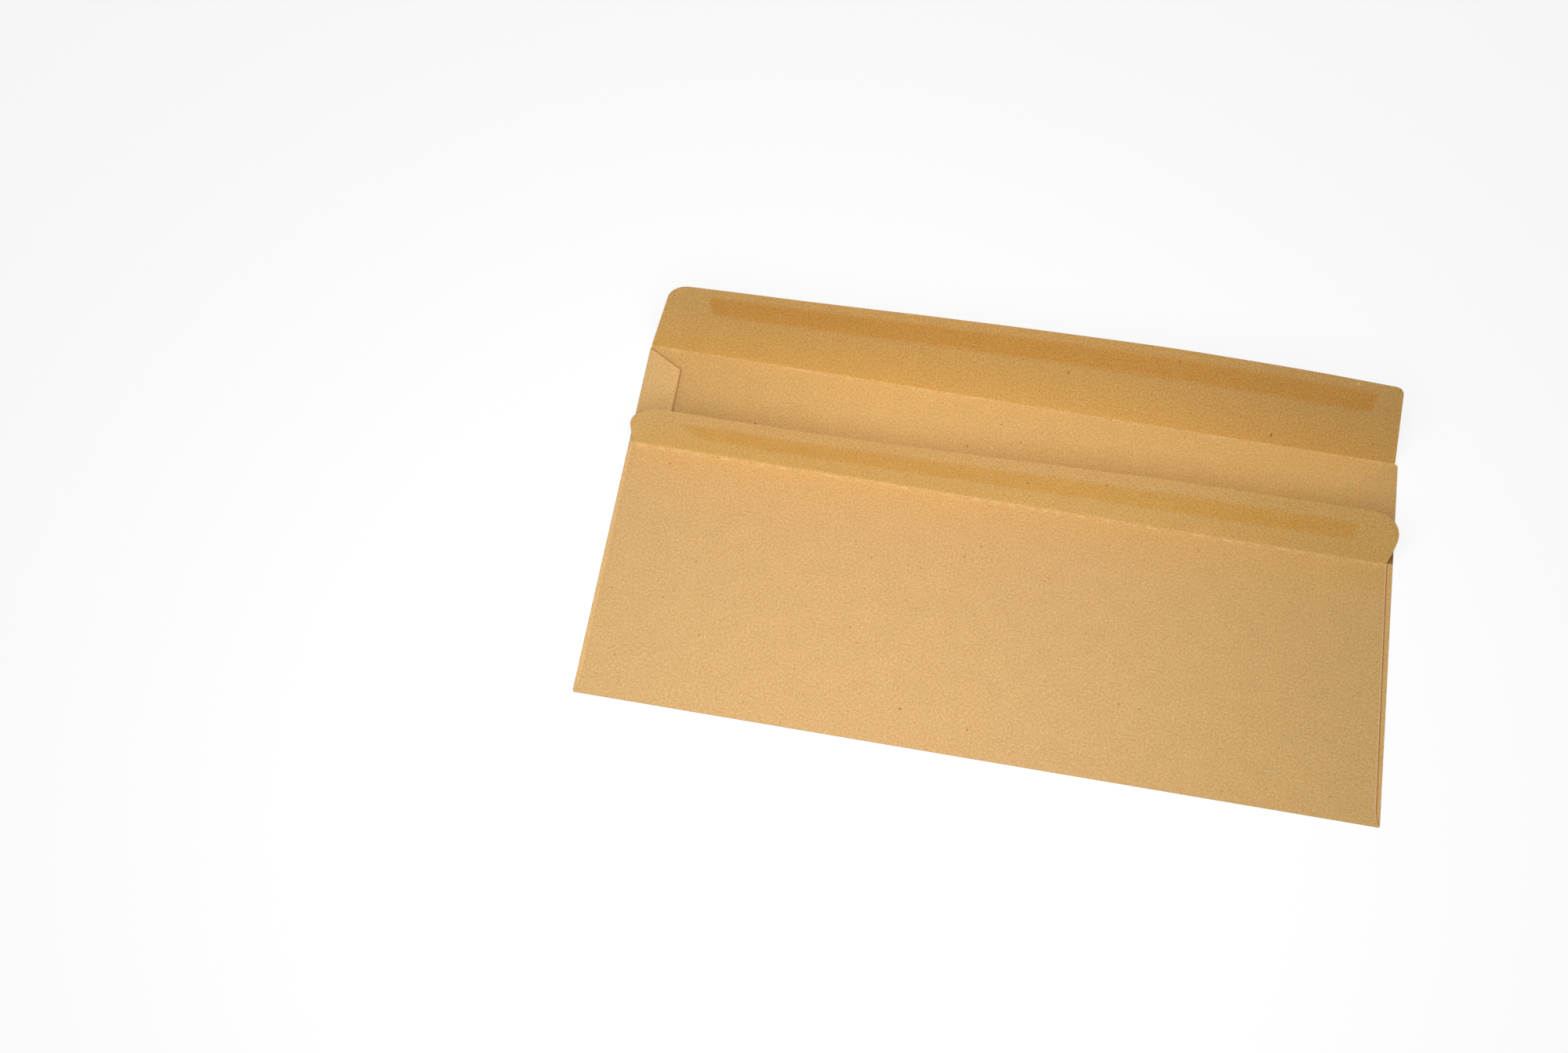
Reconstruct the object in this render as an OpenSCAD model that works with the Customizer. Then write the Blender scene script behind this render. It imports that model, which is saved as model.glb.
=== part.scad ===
// Long wallet envelope of brown kraft paper, closed by pressing two gummed flaps together. One
// die-cut sheet is folded and glued at its side seams. It lies on its front panel, back up, with
// both flaps sprung up from their creases. X runs across it and Y from the bottom fold to the main
// flap. The origin is the middle of the front panel's outer face.

/* [Sheet] */
// Width from side fold to side fold
env_w = 220; // [160:1:330]
// Height from the bottom fold to the main flap's crease
env_h = 110; // [105:1:240]
// Thickness of the paper
paper_t = 0.12; // [0.08:0.01:0.25]
// Space left inside a pressed side fold
fold_gap = 0.2; // [0.1:0.02:0.6]
// Inner radius of both flap creases
crease_r = 0.35; // [0.2:0.05:1]

/* [Side flaps] */
// Width of each side flap from its fold
side_flap_w = 10.5; // [5:0.5:20]
// How far a side flap's ends slant back between the fold and its free edge
side_flap_slant = 6; // [2:0.5:15]
// Plain corner between a side flap's root and the crease or fold beside it
side_flap_relief = 0.6; // [0.4:0.1:2]

/* [Back panel] */
// Height of the back panel from the bottom fold to the mouth flap's crease
back_h = 77.4; // [50:0.1:85]
// How far its side edges lie in from the side folds at the mouth flap's crease
back_inset = 1.6; // [1:0.1:4.5]
// How far its top and the mouth flap sit to the left of the middle
back_shift = 0.3; // [0:0.1:0.5]
// How far they lie in just above the bottom fold
back_inset_low = 1.4; // [0.8:0.1:4.5]
// Height over which they run out to the ends of the bottom fold
back_runout = 5; // [3:0.5:12]

/* [Main flap] */
// Height of the main flap beyond its crease
flap_h = 27; // [22:0.2:45]
// How far its root lies in from the side folds
flap_inset = 0.5; // [0.4:0.1:4]
// How far its root sits to the left of the middle
flap_shift = 0.3; // [0:0.1:0.4]
// How much narrower it is at its free edge, on each side
flap_taper = 5.4; // [0:0.1:12]
// Radius of its left corner
flap_corner_r = 5.2; // [1:0.1:12]
// Radius of its right corner
flap_right_corner_r = 2.2; // [1:0.1:12]
// Angle that its left end has sprung up to, from flat open
flap_tilt_left = 79; // [5:0.5:88]
// Angle in its middle
flap_tilt_mid = 67; // [5:0.5:88]
// Angle at its right end
flap_tilt_right = 68.5; // [5:0.5:88]
// Wave of that angle across the flap
flap_tilt_wave = 2; // [0:0.2:6]

/* [Mouth flap] */
// Height of the mouth flap beyond its crease
mouth_h = 17.6; // [15:0.2:24]
// How far its ends bulge out beyond its root
mouth_bulge = 0.8; // [0:0.1:2]
// Radius of its two corners
mouth_corner_r = 9.4; // [2:0.2:12]
// Angle that its left end has sprung up to, from flat
mouth_tilt_left = 82; // [5:0.5:88]
// Angle in its middle
mouth_tilt_mid = 74; // [5:0.5:88]
// Angle at its right end
mouth_tilt_right = 64; // [5:0.5:88]
// Wave of that angle across the flap
mouth_tilt_wave = 2.6; // [0:0.2:6]

/* [Gum] */
// Thickness of the dried gum
gum_t = 0.04; // [0.02:0.01:0.1]
// Width of the strip on the main flap
flap_gum_w = 6.4; // [3:0.2:12]
// Bare margin between that strip and the main flap's free edge
flap_gum_margin = 3; // [1:0.2:6]
// Bare length from each end of the main flap's straight edge to that strip
flap_gum_inset = 4.6; // [3:0.2:30]
// How far that strip lies to the right of the middle
flap_gum_shift = 0.8; // [-3:0.2:3]
// Width of the strip on the mouth flap
mouth_gum_w = 6.8; // [3:0.2:9]
// Bare margin between that strip and the mouth flap's free edge
mouth_gum_margin = 4.6; // [1:0.2:5]
// Bare length from each end of the mouth flap's straight edge to that strip
mouth_gum_inset = 3.6; // [1.6:0.2:30]
// How far that strip lies to the right of the middle
mouth_gum_shift = 1.4; // [-1.6:0.2:1.6]

/* [Hidden] */

$fn = 48;
half_w = env_w / 2;
half_h = env_h / 2;

// Depth that glued or joined layers share, so that the sheet is one solid
bond = 0.01;
// Length that a flap's foot shares with its panel
foot_l = 1;

// The layers, counted up from the front panel: side flaps, then the back panel glued onto them
side_z = paper_t + fold_gap;
back_z = side_z + paper_t - bond;
side_fold_r = (side_z + paper_t) / 2;
bottom_fold_r = (back_z + paper_t) / 2;
plate_half = half_w - side_fold_r;
bottom_y = -half_h + bottom_fold_r;
side_root_half = half_h - side_flap_relief;

// A flap is stated as its crease's place, its panel's underside, and its tilts
main_flap = [half_h, 0, [flap_tilt_left, flap_tilt_mid, flap_tilt_right, flap_tilt_wave]];
mouth_flap = [back_h - half_h, back_z,
              [mouth_tilt_left, mouth_tilt_mid, mouth_tilt_right, mouth_tilt_wave]];

// The gum strips, as [left end, right end, lower edge, upper edge] on their flaps
flap_edge_half = half_w - flap_inset - flap_taper;
mouth_edge_half = half_w - back_inset + mouth_bulge - mouth_corner_r;
flap_strip = [flap_corner_r - flap_edge_half + flap_gum_inset + flap_gum_shift,
              flap_edge_half - flap_right_corner_r - flap_gum_inset + flap_gum_shift,
              flap_h - flap_gum_margin - flap_gum_w, flap_h - flap_gum_margin];
mouth_strip = [mouth_gum_inset - mouth_edge_half - back_shift + mouth_gum_shift,
               mouth_edge_half - back_shift - mouth_gum_inset + mouth_gum_shift,
               mouth_h - mouth_gum_margin - mouth_gum_w, mouth_h - mouth_gum_margin];

// Steps of the flap surfaces: round a crease, across a strip's height and length, to an end
bend_steps = 4;
low_steps = 3;
strip_steps = 3;
edge_steps = 6;
strip_stations = 22;
end_steps = 3;

// Tilt of a flap at x, from its tilts at the left, the middle and the right and its wave
function tilt_at(x, tilts) =
    let (k = x / half_w)
    tilts[1] + (tilts[2] - tilts[0]) / 2 * k
    + ((tilts[0] + tilts[2]) / 2 - tilts[1]) * k * k
    - tilts[3] * sin(180 * k);

// Point of a flap at x, rise above the sheet's underside, and row: the length along the panel
// before the crease, the share of the bend passed, and the run beyond it
function flap_point(flap, x, row, rise) =
    let (tilt = tilt_at(x, flap[2]), turn = tilt * row[1], reach = crease_r + paper_t - rise)
    [x,
     flap[0] + row[0] + reach * sin(turn) + row[2] * cos(turn),
     flap[1] + crease_r + paper_t - reach * cos(turn) + row[2] * sin(turn)];

// Rows of a flap: its foot and bend, up to the gum, across it, and on round the corners
function foot_rows() = [[-foot_l, 0, 0], for (i = [0:bend_steps]) [0, i / bend_steps, 0]];
function even_rows(from, to, steps) = [for (i = [1:steps]) [0, 1, from + (to - from) * i / steps]];
function edge_rows(from, to) =
    [for (i = [1:edge_steps]) [0, 1, from + (to - from) * sin(90 * i / edge_steps)]];
function flap_rows(strip, height) =
    concat(foot_rows(), even_rows(0, strip[2], low_steps),
           even_rows(strip[2], strip[3], strip_steps), edge_rows(strip[3], height));
function strip_rows(strip) =
    concat([[0, 1, strip[2]]], even_rows(strip[2], strip[3], strip_steps));

// Stations across a flap: along its gum strip, and from there to its ends
function strip_across(strip) =
    [for (i = [0:strip_stations]) strip[0] + (strip[1] - strip[0]) * i / strip_stations];
function flap_across(strip, ends) =
    concat([for (i = [0:end_steps - 1]) ends[0] + (strip[0] - ends[0]) * i / end_steps],
           strip_across(strip),
           [for (i = [1:end_steps]) strip[1] + (ends[1] - strip[1]) * i / end_steps]);

// Left and right end of each flap at a run from its crease
function corner_cut(run, height, radius) =
    let (up = max(run - (height - radius), 0))
    radius - sqrt(max(radius * radius - up * up, 0));
function main_ends(run) =
    let (half = half_w - flap_inset - flap_taper * run / flap_h,
         middle = flap_shift * (run / flap_h - 1))
    [middle - half + corner_cut(run, flap_h, flap_corner_r),
     middle + half - corner_cut(run, flap_h, flap_right_corner_r)];
function mouth_ends(run) =
    let (flare = mouth_bulge * sin(90 * min(run / (mouth_h - mouth_corner_r), 1)),
         half = half_w - back_inset + flare - corner_cut(run, mouth_h, mouth_corner_r))
    [-half - back_shift, half - back_shift];

// Solid between two layers of points that match, each a list of rows of equal length
module between_layers(low, high) {
    rows = len(low);
    cols = len(low[0]);
    function at(layer, r, c) = (layer * rows + r) * cols + c;
    function pair(a, b, c, d) = [[a, b, c], [a, c, d]];
    faces = [
        for (r = [0:rows - 2], c = [0:cols - 2]) each concat(
            pair(at(1, r, c), at(1, r + 1, c), at(1, r + 1, c + 1), at(1, r, c + 1)),
            pair(at(0, r, c), at(0, r, c + 1), at(0, r + 1, c + 1), at(0, r + 1, c))),
        for (c = [0:cols - 2]) each concat(
            pair(at(0, 0, c), at(1, 0, c), at(1, 0, c + 1), at(0, 0, c + 1)),
            pair(at(0, rows - 1, c + 1), at(1, rows - 1, c + 1),
                 at(1, rows - 1, c), at(0, rows - 1, c))),
        for (r = [0:rows - 2]) each concat(
            pair(at(0, r + 1, 0), at(1, r + 1, 0), at(1, r, 0), at(0, r, 0)),
            pair(at(0, r, cols - 1), at(1, r, cols - 1),
                 at(1, r + 1, cols - 1), at(0, r + 1, cols - 1)))
    ];
    polyhedron([for (layer = [low, high], row = layer) each row], faces);
}

module main_flap_sheet() {
    rows = flap_rows(flap_strip, flap_h);
    low = [for (row = rows) [for (x = flap_across(flap_strip, main_ends(row[2])))
        flap_point(main_flap, x, row, 0)]];
    high = [for (row = rows) [for (x = flap_across(flap_strip, main_ends(row[2])))
        flap_point(main_flap, x, row, paper_t)]];
    between_layers(low, high);
}

module mouth_flap_sheet() {
    rows = flap_rows(mouth_strip, mouth_h);
    low = [for (row = rows) [for (x = flap_across(mouth_strip, mouth_ends(row[2])))
        flap_point(mouth_flap, x, row, 0)]];
    high = [for (row = rows) [for (x = flap_across(mouth_strip, mouth_ends(row[2])))
        flap_point(mouth_flap, x, row, paper_t)]];
    between_layers(low, high);
}

// Film of gum on a flap's upper face, along its strip
module gum_film(flap, strip) {
    low = [for (row = strip_rows(strip)) [for (x = strip_across(strip))
        flap_point(flap, x, row, paper_t)]];
    high = [for (row = strip_rows(strip)) [for (x = strip_across(strip))
        flap_point(flap, x, row, paper_t + gum_t)]];
    between_layers(low, high);
}

// Section of a pressed fold: a half ring to the right, with a short leg into each layer
module fold_section(outer_r) {
    difference() {
        union() {
            circle(outer_r);
            translate([-foot_l, -outer_r])
                square([foot_l, 2 * outer_r]);
        }
        circle(outer_r - paper_t);
        translate([-foot_l - bond, paper_t - outer_r])
            square([foot_l + bond, 2 * (outer_r - paper_t)]);
    }
}

module front_panel() {
    translate([-plate_half, bottom_y, 0])
        cube([2 * plate_half, half_h - bottom_y, paper_t]);
}

// Right side fold and the side flap that it turns in over the front panel
module side_flap() {
    translate([plate_half, side_root_half, side_fold_r])
        rotate([90, 0, 0])
            linear_extrude(2 * side_root_half)
                fold_section(side_fold_r);
    translate([0, 0, side_z])
        linear_extrude(paper_t)
            polygon([
                [plate_half, -side_root_half],
                [plate_half, side_root_half],
                [half_w - side_flap_w, side_root_half - side_flap_slant],
                [half_w - side_flap_w, side_flap_slant - side_root_half]
            ]);
}

// Right edge of the back panel: run out to the fold's end, then straight up to the crease, which
// lies this far to the right of the middle
function back_edge(shift) =
    let (low_half = half_w - back_inset_low, out = plate_half - low_half,
         r = (back_runout * back_runout + out * out) / (2 * out))
    [for (i = [0:6]) let (up = back_runout * i / 6, left = back_runout - up)
        [low_half + r - sqrt(r * r - left * left), bottom_y + up],
     [half_w - back_inset + shift, mouth_flap[0]]];

module back_panel() {
    right = back_edge(-back_shift);
    left = back_edge(back_shift);
    translate([0, 0, back_z])
        linear_extrude(paper_t)
            polygon(concat(right, [for (i = [len(left) - 1:-1:0]) [-left[i][0], left[i][1]]]));
}

module bottom_fold() {
    translate([plate_half, bottom_y, bottom_fold_r])
        rotate([90, 0, -90])
            linear_extrude(2 * plate_half)
                fold_section(bottom_fold_r);
}

module envelope() {
    color("burlywood") {
        front_panel();
        side_flap();
        mirror([1, 0, 0])
            side_flap();
        bottom_fold();
        back_panel();
        main_flap_sheet();
        mouth_flap_sheet();
    }
}

module flap_gum() {
    color("darkgoldenrod")
        gum_film(main_flap, flap_strip);
}

module mouth_gum() {
    color("darkgoldenrod")
        gum_film(mouth_flap, mouth_strip);
}

envelope();
flap_gum();
mouth_gum();
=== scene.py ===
import math

import bpy
from mathutils import Matrix, Vector, kdtree, noise


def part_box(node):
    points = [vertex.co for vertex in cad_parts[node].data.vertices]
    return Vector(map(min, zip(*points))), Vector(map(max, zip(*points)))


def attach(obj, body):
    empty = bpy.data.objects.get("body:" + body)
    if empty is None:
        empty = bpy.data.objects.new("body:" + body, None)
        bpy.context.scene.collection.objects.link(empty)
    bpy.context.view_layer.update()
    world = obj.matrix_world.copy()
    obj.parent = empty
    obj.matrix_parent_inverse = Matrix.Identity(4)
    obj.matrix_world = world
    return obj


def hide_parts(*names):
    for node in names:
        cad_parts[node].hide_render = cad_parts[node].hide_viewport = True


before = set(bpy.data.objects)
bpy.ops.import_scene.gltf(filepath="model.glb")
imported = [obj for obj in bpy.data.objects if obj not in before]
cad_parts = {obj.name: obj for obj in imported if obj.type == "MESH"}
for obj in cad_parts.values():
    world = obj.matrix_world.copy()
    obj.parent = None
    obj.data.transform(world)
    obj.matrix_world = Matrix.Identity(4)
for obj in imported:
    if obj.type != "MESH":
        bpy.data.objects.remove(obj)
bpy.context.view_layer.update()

mm = 0.001
slack = 0.01      # mm, between places that count as the same
print("envelope: frame loaded, nodes", sorted(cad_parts))

# The camera stands where the photo was taken from
cameraView = {
    "place": (-31.3, -236.9, 526.8),   # mm, in the envelope's own frame
    "aim": (-61.53, 4.21, 0.0),        # where the middle of the picture looks, mm
    "roll": 2.8,                       # degrees
    "lens": 46.98,                     # mm on the sensor width below
    "sensor": 36.0,
    "nearest": 10.0,                   # mm
}


def lookFrom(place, aim):
    place, aim = Vector(place) * mm, Vector(aim) * mm
    return Matrix.Translation(place) @ (aim - place).to_track_quat("-Z", "Y").to_matrix().to_4x4()


def addObject(name, data):
    item = bpy.data.objects.new(name, data)
    bpy.context.scene.collection.objects.link(item)
    return item


def setCamera(view):
    eye = bpy.data.cameras.new("tableView")
    eye.lens = view["lens"]
    eye.sensor_width = view["sensor"]
    eye.clip_start = view["nearest"] * mm
    seat = addObject("tableView", eye)
    roll = Matrix.Rotation(math.radians(view["roll"]), 4, "Z")
    seat.matrix_world = lookFrom(view["place"], view["aim"]) @ roll
    bpy.context.scene.camera = seat


setCamera(cameraView)
print("envelope: camera set")


# Helpers that build node trees

def feed(tree, socket, value):
    if isinstance(value, bpy.types.NodeSocket):
        tree.links.new(value, socket)
    else:
        socket.default_value = value


def feedAll(tree, node, values):
    # values by the inputs' names or numbers
    for label, value in dict(values).items():
        feed(tree, node.inputs[label], value)


def addNode(tree, kind, values=(), **settings):
    node = tree.nodes.new(kind)
    for name, value in settings.items():
        setattr(node, name, value)
    feedAll(tree, node, values)
    return node


def calc(tree, operation, *values, clamp=False):
    return addNode(tree, "ShaderNodeMath", enumerate(values),
                   operation=operation, use_clamp=clamp).outputs[0]


def total(tree, *values):
    result = values[0]
    for value in values[1:]:
        result = calc(tree, "ADD", result, value)
    return result


def times(tree, *values):
    result = values[0]
    for value in values[1:]:
        result = calc(tree, "MULTIPLY", result, value)
    return result


def minus(tree, first, second):
    return calc(tree, "SUBTRACT", first, second)


def vectorMath(tree, operation, *values):
    node = addNode(tree, "ShaderNodeVectorMath", enumerate(values), operation=operation)
    return node.outputs["Value" if operation == "LENGTH" else "Vector"]


def scaled(tree, vector, scale):
    return addNode(tree, "ShaderNodeVectorMath", {0: vector, "Scale": scale},
                   operation="SCALE").outputs[0]


def separate(tree, vector):
    return addNode(tree, "ShaderNodeSeparateXYZ", {0: vector}).outputs


def combine(tree, *values):
    return addNode(tree, "ShaderNodeCombineXYZ", enumerate(values)).outputs[0]


def between(tree, value, low, high, outLow=0.0, outHigh=1.0):
    # outLow up to low and outHigh beyond high, with a soft rise between
    return addNode(tree, "ShaderNodeMapRange", {
        "Value": value, "From Min": low, "From Max": high, "To Min": outLow, "To Max": outHigh},
        interpolation_type="SMOOTHSTEP").outputs["Result"]


def newGroup(name, kind, inputs, outputs):
    tree = bpy.data.node_groups.new(name, kind)
    for label, sort, start in inputs:
        socket = tree.interface.new_socket(label, in_out="INPUT", socket_type="NodeSocket" + sort)
        if start is not None:
            socket.default_value = start
    for label, sort in outputs:
        tree.interface.new_socket(label, in_out="OUTPUT", socket_type="NodeSocket" + sort)
    given, made = tree.nodes.new("NodeGroupInput"), tree.nodes.new("NodeGroupOutput")
    return tree, given.outputs, made.inputs


def placeGroup(tree, group, values):
    kind = tree.bl_idname.replace("Tree", "Group")
    return addNode(tree, kind, values, node_tree=group).outputs


def arrange(tree):
    # nodes stand in columns by how far they are from the output
    columnWidth, rowHeight = 220, 190
    depth = {}

    def visit(node, level):
        if depth.get(node.name, -1) >= level:
            return
        depth[node.name] = level
        for socket in node.inputs:
            for link in socket.links:
                visit(link.from_node, level + 1)

    for node in tree.nodes:
        if not any(socket.links for socket in node.outputs):
            visit(node, 0)
    rows = {}
    for node in tree.nodes:
        level = depth.get(node.name, 0)
        rows[level] = rows.get(level, 0) + 1
        node.location = (-columnWidth * level, -rowHeight * rows[level])


# The folded sheet's sizes, in mm
low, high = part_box("envelope")

sheetSizes = {
    "width": (high.x - low.x) / mm,
    "height": -2 * low.y / mm,     # bottom fold to main crease: the frame's origin is half way
    "paper": 0.12,
    "foldGap": 0.2,                # left inside a pressed side fold
    "glueLine": 0.02,              # between the side flaps and the back panel on them
    "creaseRadius": 0.35,
    "creaseBand": 0.5,             # length of paper in a flap's crease
    "sideFlapWidth": 10.5,
    "sideFlapSlant": 6.0,
    "sideFlapRelief": 0.6,
    "backHeight": 77.4,
    "backInset": 1.6,
    "backShift": 0.3,              # how far its top and the mouth flap sit to the left
    "backInsetLow": 1.4,
    "backRunout": 5.0,
}

mainFlapSizes = {
    "height": 27.0,
    "inset": 0.5,
    "shift": 0.3,                  # how far its root sits to the left
    "taper": 5.4,
    "corners": (5.2, 2.2),         # left, right
    "tilts": (79.0, 67.0, 68.5, 2.0),   # degrees: left, middle, right, and how far it waves
}

mouthFlapSizes = {
    "height": 17.6,
    "bulge": 0.8,
    "corners": (9.4, 9.4),
    "tilts": (82.0, 74.0, 64.0, 2.6),
}

halfWidth = sheetSizes["width"] / 2
halfHeight = sheetSizes["height"] / 2
paper = sheetSizes["paper"]
sideFoldRadius = (sheetSizes["foldGap"] + 2 * paper) / 2
bottomFoldRadius = (sheetSizes["foldGap"] + 3 * paper + sheetSizes["glueLine"]) / 2
sideBand = math.pi * (sideFoldRadius - paper / 2)
bottomBand = math.pi * (bottomFoldRadius - paper / 2)
plateHalf = halfWidth - sideFoldRadius
sideRootHalf = halfHeight - sheetSizes["sideFlapRelief"]

# lines across the flat cut, counted along it in mm from the middle of the front panel
mainLine = halfHeight
mainRoot = mainLine + sheetSizes["creaseBand"]
bottomLine = bottomFoldRadius - halfHeight
backRoot = bottomLine - bottomBand
mouthLine = backRoot - (sheetSizes["backHeight"] - halfHeight - bottomLine)
mouthHeight = sheetSizes["backHeight"] - halfHeight      # where the mouth crease comes to lie
mouthRoot = mouthLine - sheetSizes["creaseBand"]


# The tree that folds the flat cut

def buildFoldGroup():
    # where a point past one fold lands: how far out, and how high above the panel's underside
    tree, given, made = newGroup(
        "foldRound", "GeometryNodeTree",
        [("Past", "Float", None), ("Rise", "Float", None), ("Outer Radius", "Float", 0.0005),
         ("Band", "Float", 0.0005), ("Tilt", "Float", math.pi)],
        [("Out", "Float"), ("Up", "Float")])
    share = calc(tree, "DIVIDE", given["Past"], given["Band"], clamp=True)
    run = calc(tree, "MAXIMUM", minus(tree, given["Past"], given["Band"]), 0.0)
    turn = times(tree, given["Tilt"], share)
    reach = minus(tree, given["Outer Radius"], given["Rise"])
    before = calc(tree, "MINIMUM", given["Past"], 0.0)
    roundOut = times(tree, reach, calc(tree, "SINE", turn))
    roundUp = times(tree, reach, calc(tree, "COSINE", turn))
    beyondOut = times(tree, run, calc(tree, "COSINE", given["Tilt"]))
    beyondUp = times(tree, run, calc(tree, "SINE", given["Tilt"]))
    feed(tree, made["Out"], total(tree, before, roundOut, beyondOut))
    feed(tree, made["Up"], total(tree, minus(tree, given["Outer Radius"], roundUp), beyondUp))
    arrange(tree)
    return tree


tiltNames = ("Left", "Middle", "Right", "Wave")


def buildTiltGroup():
    # tilt of a flap at a place across it, in radians, from its tilts in degrees
    tree, given, made = newGroup(
        "flapTilt", "GeometryNodeTree",
        [("Across", "Float", None)] + [(name, "Float", 0.0) for name in tiltNames],
        [("Tilt", "Float")])
    across = given["Across"]
    lean = times(tree, minus(tree, given["Right"], given["Left"]), 0.5)
    mean = times(tree, total(tree, given["Right"], given["Left"]), 0.5)
    bow = minus(tree, mean, given["Middle"])
    wave = times(tree, given["Wave"], calc(tree, "SINE", times(tree, across, math.pi)))
    tilt = total(tree, given["Middle"], times(tree, lean, across),
                 times(tree, bow, times(tree, across, across)))
    feed(tree, made["Tilt"], calc(tree, "RADIANS", minus(tree, tilt, wave)))
    arrange(tree)
    return tree


def waveNoise(tree, place, size, seed, detail=1.0):
    # soft noise from -1 to 1 over the flat cut, with humps of about this size
    node = addNode(tree, "ShaderNodeTexNoise", {
        "Vector": place, "W": seed, "Scale": 1 / (size * mm), "Detail": detail},
        noise_dimensions="4D")
    return times(tree, minus(tree, node.outputs[0], 0.5), 2.0)


# How the folded sheet departs from flat panels, in mm
foldShape = {
    "flapWave": (30, 3.1), "backWave": (45, 7.7), "creaseWave": (7, 5.2),   # hump size, seed
    "bulgeEnds": (30, 25),     # the bulge is full this far from the bottom fold, from the crease
    "bulgeSides": (12, 60),    # it starts this far in from the side folds, and is full
    "edgeSides": (8, 1.6),     # the same for the back panel's edges that stand off
    "edgeRise": (2, 14),       # and above the bottom fold
    "springSpan": (24, 37),    # the side flaps spring up between these heights above the middle
}

foldInputs = [
    ("Half Width", halfWidth * mm), ("Plate Half", plateHalf * mm), ("Paper", paper * mm),
    ("Side Fold Radius", sideFoldRadius * mm), ("Side Band", sideBand * mm),
    ("Bottom Line", bottomLine * mm), ("Bottom Fold Radius", bottomFoldRadius * mm),
    ("Bottom Band", bottomBand * mm),
    ("Mouth Line", mouthLine * mm), ("Main Line", mainLine * mm),
    ("Crease Radius", (sheetSizes["creaseRadius"] + paper) * mm),
    ("Crease Band", sheetSizes["creaseBand"] * mm),
    *[("Main " + name, tilt) for name, tilt in zip(tiltNames, mainFlapSizes["tilts"])],
    *[("Mouth " + name, tilt) for name, tilt in zip(tiltNames, mouthFlapSizes["tilts"])],
    ("Flap Cockle", 0.28 * mm), ("Back Bulge", 0.5 * mm), ("Back Cockle", 0.1 * mm),
    ("Crease Wobble", 0.15 * mm),
    ("Left Flap Lift", 3.2), ("Right Flap Lift", 1.2),   # degrees
    ("Left Edge Lift", 0.05 * mm), ("Right Edge Lift", 0.16 * mm),
]


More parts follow.
